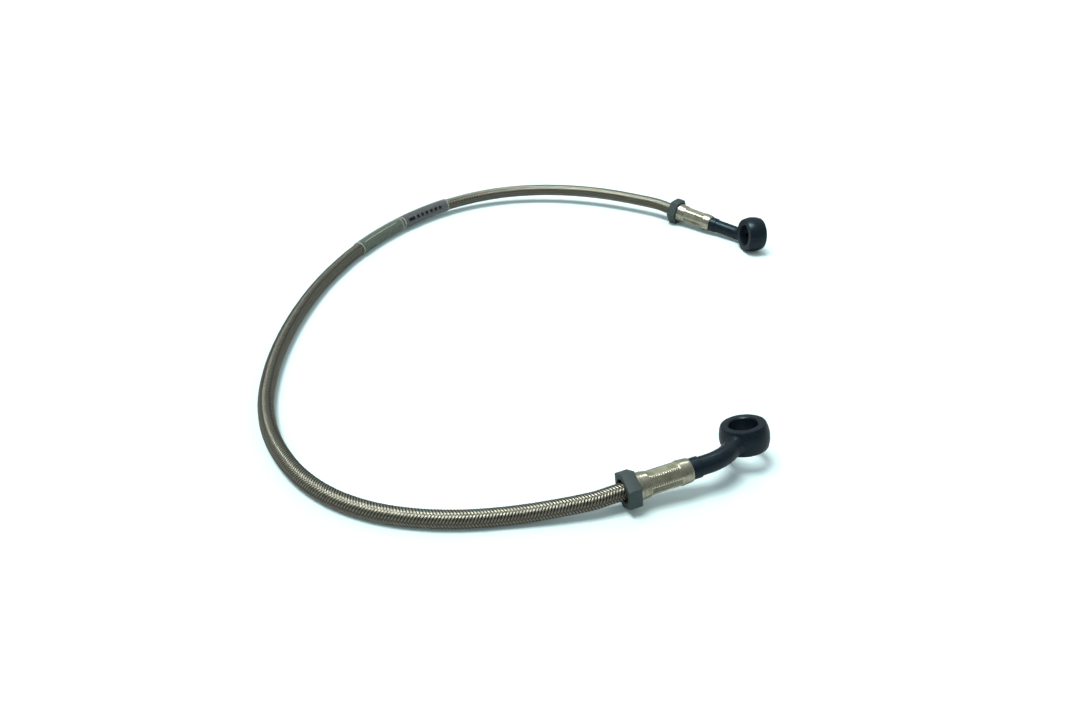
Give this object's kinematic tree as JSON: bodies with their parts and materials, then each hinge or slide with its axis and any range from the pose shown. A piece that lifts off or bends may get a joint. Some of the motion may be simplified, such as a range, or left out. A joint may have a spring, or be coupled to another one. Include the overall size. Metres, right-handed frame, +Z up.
{
  "type": "braided steel brake hose",
  "caption": "Brake hose of stainless steel braid over a plastic liner, with crimped banjo eyes, hexagonal collars and clear sleeves.",
  "frame": {"origin": "centre of the footprint, on the surface that the hose lies on", "axes": "+Z up off that surface, X along the rear eye's bore, Y along the longer way across the open loop"},
  "size_m": [0.2494, 0.2804, 0.0174],
  "materials": {
    "black_steel": "satin blue-black finish on steel",
    "nickel_steel": "bright warm nickel plate, marked by the crimping dies",
    "slate_plastic": "matt moulded dark slate plastic",
    "white_liner": "milky fluoropolymer tube",
    "braid": "bare stainless steel wire braid",
    "marked_sleeve": "clear shrunk sleeve with a plain dark printed band",
    "clear_sleeve": "clear shrunk sleeve"
  },
  "bodies": {
    "root": {"rear_banjo": "black_steel", "front_banjo": "black_steel", "rear_ferrule": "nickel_steel", "front_ferrule": "nickel_steel", "rear_collar": "slate_plastic", "front_collar": "slate_plastic", "hose_liner": "white_liner", "steel_braid": "braid", "marked_sleeve": "marked_sleeve", "clear_sleeve": "clear_sleeve"}
  },
  "joints": []
}
